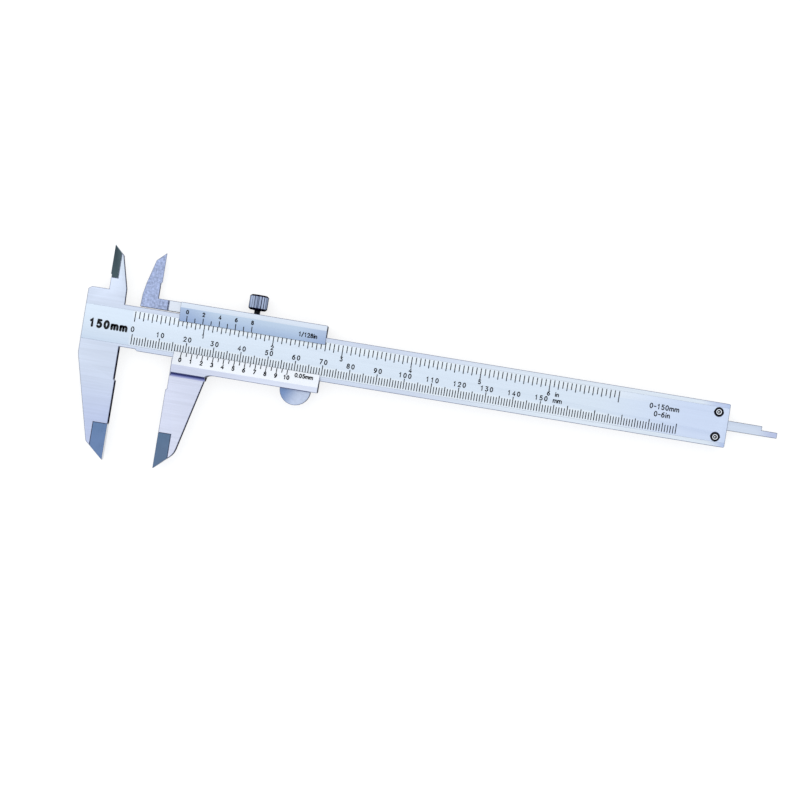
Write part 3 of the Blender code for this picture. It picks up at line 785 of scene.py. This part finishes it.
def rounded_ends(points, pen):
    """Adds a short, narrower piece at both ends of an open stroke, as (points, half widths)."""
    first, last = Vector(points[0]), Vector(points[-1])
    out = (first - Vector(points[1])).normalized()
    on = (last - Vector(points[-2])).normalized()
    halves = [pen / 2.0] * len(points)
    line = [tuple(first + out * pen * END_REACH)] + list(points) + [tuple(last + on * pen * END_REACH)]
    return line, [pen * END_HALF] + halves + [pen * END_HALF]


def stroked(name, strokes, surface, start, body, look):
    """Thin closed strips along the strokes, standing on a face whose height at y is surface(y)."""
    vertices, faces = [], []
    for points, closed, pen in strokes:
        halves = [pen / 2.0] * len(points)
        if not closed:
            points, halves = rounded_ends(points, pen)
        first = len(vertices)
        for (x, y), step, half in zip(points, side_steps(points, closed), halves):
            for side, height in ((1, LINE_PROUD), (-1, LINE_PROUD), (-1, -LINE_SUNK), (1, -LINE_SUNK)):
                across = Vector((x, y)) + step * half * side
                top = surface(across.y) + height
                vertices.append(((start + across.x) * MM, (MIDDLE_Y + across.y) * MM, top * MM))
        count = len(points)
        for row in range(count if closed else count - 1):
            here = first + row * 4
            there = first + (row + 1) % count * 4
            for corner in range(4):
                onward = (corner + 1) % 4
                faces.append((here + corner, here + onward, there + onward, there + corner))
        if not closed:
            faces.append(tuple(first + corner for corner in range(4)))
            faces.append(tuple(first + (count - 1) * 4 + corner for corner in range(4)))
    mesh = bpy.data.meshes.new(name)
    mesh.from_pydata(vertices, [], faces)
    mesh.materials.append(look)
    turn_faces_out(mesh)
    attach(placed(name, mesh), body)


def line(x, foot, top, pen=LINE_WIDTH):
    """An upright graduation line, with the ends that its pen adds kept inside its length."""
    trim = pen * END_REACH
    return ([(x, foot + trim), (x, top - trim)], False, pen)


def on_panel(y):
    return PANEL_FRONT


def on_inch_bevel(y):
    slope = (SLIDER_FRONT - LIP_EDGE) / (BEVEL_TOP - LIP_TOP_EDGE)
    return LIP_EDGE + (y - LIP_TOP_EDGE) * slope


def on_mm_bevel(y):
    slope = (SLIDER_FRONT - LIP_EDGE) / (BEVEL_BOTTOM - LIP_BOTTOM_EDGE)
    return LIP_EDGE + (y - LIP_BOTTOM_EDGE) * slope


def main_mm_lines():
    """Two hundred millimetres, with longer lines at the fives and the tens."""
    lines = []
    for count in range(201):
        length = 2.75
        if count % 10 == 0:
            length = 3.85
        elif count % 5 == 0:
            length = 3.35
        lines.append(line(count, MM_LINE_FOOT, MM_LINE_FOOT + length))
    return lines


def main_inch_lines():
    """Seven inches in sixteenths, with longer lines at the eighths and the inches."""
    lines = []
    for count in range(113):
        length = 2.6 if count % 2 else 3.2
        if count % 16 == 0:
            length = 4.2 if count else 3.8
        lines.append(line(count * INCH / 16.0, INCH_LINE_TOP - length, INCH_LINE_TOP))
    return lines


def main_figures():
    strokes = glyph_strokes("0", -0.2, ZERO_ROW)
    for tens in range(1, 16):
        glyphs = ["flat 3" if glyph == "3" else glyph for glyph in str(tens * 10)]
        strokes += glyph_strokes(glyphs, tens * 10.0, MM_ROW, gap=0.5)
    for inch in range(1, 7):
        glyphs = ["flat 3" if inch == 3 else str(inch)]
        strokes += glyph_strokes(glyphs, inch * INCH, INCH_ROW)
    strokes += glyph_strokes("mm", 156.0, MM_UNIT_ROW, gap=0.22)
    strokes += glyph_strokes("in", 155.5, INCH_UNIT_ROW)
    return strokes


def vernier_mm_lines():
    lines = []
    for count in range(21):
        foot = -7.15 if count % 2 else -7.7
        lines.append(line(count * VERNIER_MM_STEP, foot, LIP_BOTTOM_EDGE))
    return lines


def vernier_mm_figures():
    strokes = []
    for figure in range(11):
        strokes += glyph_strokes(str(figure), figure * 2 * VERNIER_MM_STEP, VERNIER_MM_ROW)
    return strokes + glyph_strokes("0.05mm", 45.2, MM_READING_ROW, gap=0.25)


def vernier_inch_lines():
    lines = []
    for count in range(9):
        top = LIP_TOP_EDGE + (1.65 if count % 2 else 2.1)
        lines.append(line(count * VERNIER_INCH_STEP, LIP_TOP_EDGE, top))
    return lines


def vernier_inch_figures():
    strokes = []
    for figure in range(0, 9, 2):
        strokes += glyph_strokes(str(figure), figure * VERNIER_INCH_STEP, VERNIER_INCH_ROW)
    return strokes + glyph_strokes("1/128in", 44.2, INCH_READING_ROW, gap=0.23)


def range_note():
    note = glyph_strokes("0-150mm", 194.7, MM_RANGE_ROW, gap=0.3)
    return note + glyph_strokes("0-6in", 194.2, INCH_RANGE_ROW, gap=0.3)


def make_graduations():
    stroked("main_mm_lines", main_mm_lines(), on_panel, MAIN_X, "beam", INK)
    stroked("main_inch_lines", main_inch_lines(), on_panel, MAIN_X, "beam", INK)
    stroked("main_figures", main_figures(), on_panel, MAIN_X, "beam", INK)
    range_mark = glyph_strokes("150mm", -9.2, RANGE_MARK_ROW, gap=0.46)
    stroked("range_mark", range_mark, on_panel, MAIN_X, "beam", BOLD_INK)
    stroked("range_note", range_note(), on_panel, MAIN_X, "beam", INK)
    stroked("vernier_mm_lines", vernier_mm_lines(), on_mm_bevel, VERNIER_X, "slider", INK)
    stroked("vernier_mm_figures", vernier_mm_figures(), on_mm_bevel, VERNIER_X, "slider", INK)
    stroked("vernier_inch_lines", vernier_inch_lines(), on_inch_bevel, VERNIER_X, "slider", INK)
    stroked("vernier_inch_figures", vernier_inch_figures(), on_inch_bevel, VERNIER_X, "slider", INK)


# ---------------------------------------------------------------- floor, light and camera

CAMERA_TURN = math.radians(9.35)
CAMERA_FOCAL = 1650.0
CAMERA_X = 99.64
CAMERA_Y = -9.96
CAMERA_HEIGHT = 604.0
FRAME_SIDE = 800.0
SENSOR = 36.0


def make_floor():
    """A pale light table, whose glow keeps the shadows on it faint."""
    mesh = bpy.data.meshes.new("floor")
    side = 4.0
    mesh.from_pydata([(-side, -side, 0.0), (side, -side, 0.0), (side, side, 0.0), (-side, side, 0.0)],
                     [], [(0, 1, 2, 3)])
    floor = placed("floor", mesh)
    made, tree, shader = new_material("white_floor")
    cloud = noise(tree, place_of(tree), (6.0, 6.0, 6.0), detail=2.0)
    tree.links.new(scaled_colour(tree, (0.22, 0.22, 0.22, 1.0), varied(tree, 1.0, (0.02, cloud))),
                   shader.inputs["Base Color"])
    shader.inputs["Roughness"].default_value = 0.8
    shader.inputs["Specular IOR Level"].default_value = 0.1
    shader.inputs["Emission Color"].default_value = (1.0, 1.0, 1.0, 1.0)
    shader.inputs["Emission Strength"].default_value = 0.76
    mesh.materials.append(made)
    floor.location.z = -0.0001


def make_world():
    """A bright studio dome: pale overhead, brightest to +Y, bluer to -Y and dimmer to either X end.

    The camera sees it as plain white.
    """
    world = bpy.data.worlds.new("studio")
    bpy.context.scene.world = world
    world.use_nodes = True
    tree = world.node_tree
    way = add_node(tree, "ShaderNodeSeparateXYZ",
                   Vector=add_node(tree, "ShaderNodeTexCoord").outputs["Generated"])
    north = add_node(tree, "ShaderNodeMapRange", {"interpolation_type": "SMOOTHSTEP"},
                     Value=way.outputs["Y"], From_Min=-0.75, From_Max=0.55)
    side = add_node(tree, "ShaderNodeMix", {"data_type": "RGBA"}, i0=north.outputs[0])
    side.inputs[6].default_value = (0.62, 0.70, 0.86, 1.0)
    side.inputs[7].default_value = (1.02, 1.04, 1.08, 1.0)
    across = math_node(tree, "ABSOLUTE", way.outputs["X"], 0.0)
    falling = add_node(tree, "ShaderNodeMapRange", {"interpolation_type": "SMOOTHSTEP"}, Value=across,
                       From_Min=0.5, From_Max=0.95, To_Min=1.0, To_Max=0.42)
    side_light = scaled_colour(tree, side.outputs[2], falling.outputs[0])
    overhead = add_node(tree, "ShaderNodeMapRange", {"interpolation_type": "SMOOTHSTEP"},
                        Value=way.outputs["Z"], From_Min=0.55, From_Max=0.95)
    dome = add_node(tree, "ShaderNodeMix", {"data_type": "RGBA"}, i0=overhead.outputs[0], i6=side_light)
    dome.inputs[7].default_value = (0.96, 0.97, 0.98, 1.0)
    seen = add_node(tree, "ShaderNodeLightPath").outputs["Is Camera Ray"]
    shown = add_node(tree, "ShaderNodeMix", {"data_type": "RGBA"}, i0=seen, i6=dome.outputs[2])
    shown.inputs[7].default_value = (1.0, 1.0, 1.0, 1.0)
    background = tree.nodes["Background"]
    tree.links.new(shown.outputs[2], background.inputs["Color"])
    background.inputs["Strength"].default_value = STUDIO


def make_light(name, location, size, power, colour):
    data = bpy.data.lights.new(name, "AREA")
    data.shape = "SQUARE"
    data.size = size
    data.energy = power
    data.color = colour
    light = placed(name, data)
    light.location = location
    light.rotation_euler = (-Vector(location)).to_track_quat("-Z", "Y").to_euler()


def make_camera():
    """Straight above the caliper and turned, so that the beam runs down to the right."""
    data = bpy.data.cameras.new("camera")
    data.sensor_width = SENSOR
    data.lens = CAMERA_FOCAL / FRAME_SIDE * SENSOR
    data.clip_start = 0.01
    data.clip_end = 20.0
    camera = placed("camera", data)
    camera.matrix_world = (Matrix.Translation(at(CAMERA_X, CAMERA_Y, CAMERA_HEIGHT))
                           @ Matrix.Rotation(CAMERA_TURN, 4, "Z"))
    bpy.context.scene.camera = camera


make_surfaces()
make_knob()
make_stop_screws()
make_graduations()
make_floor()
make_world()
make_light("key", (-0.8, 0.3, 0.85), 1.0, 1.6, (1.0, 1.0, 1.0))
make_camera()
bpy.context.scene.view_settings.view_transform = "Standard"
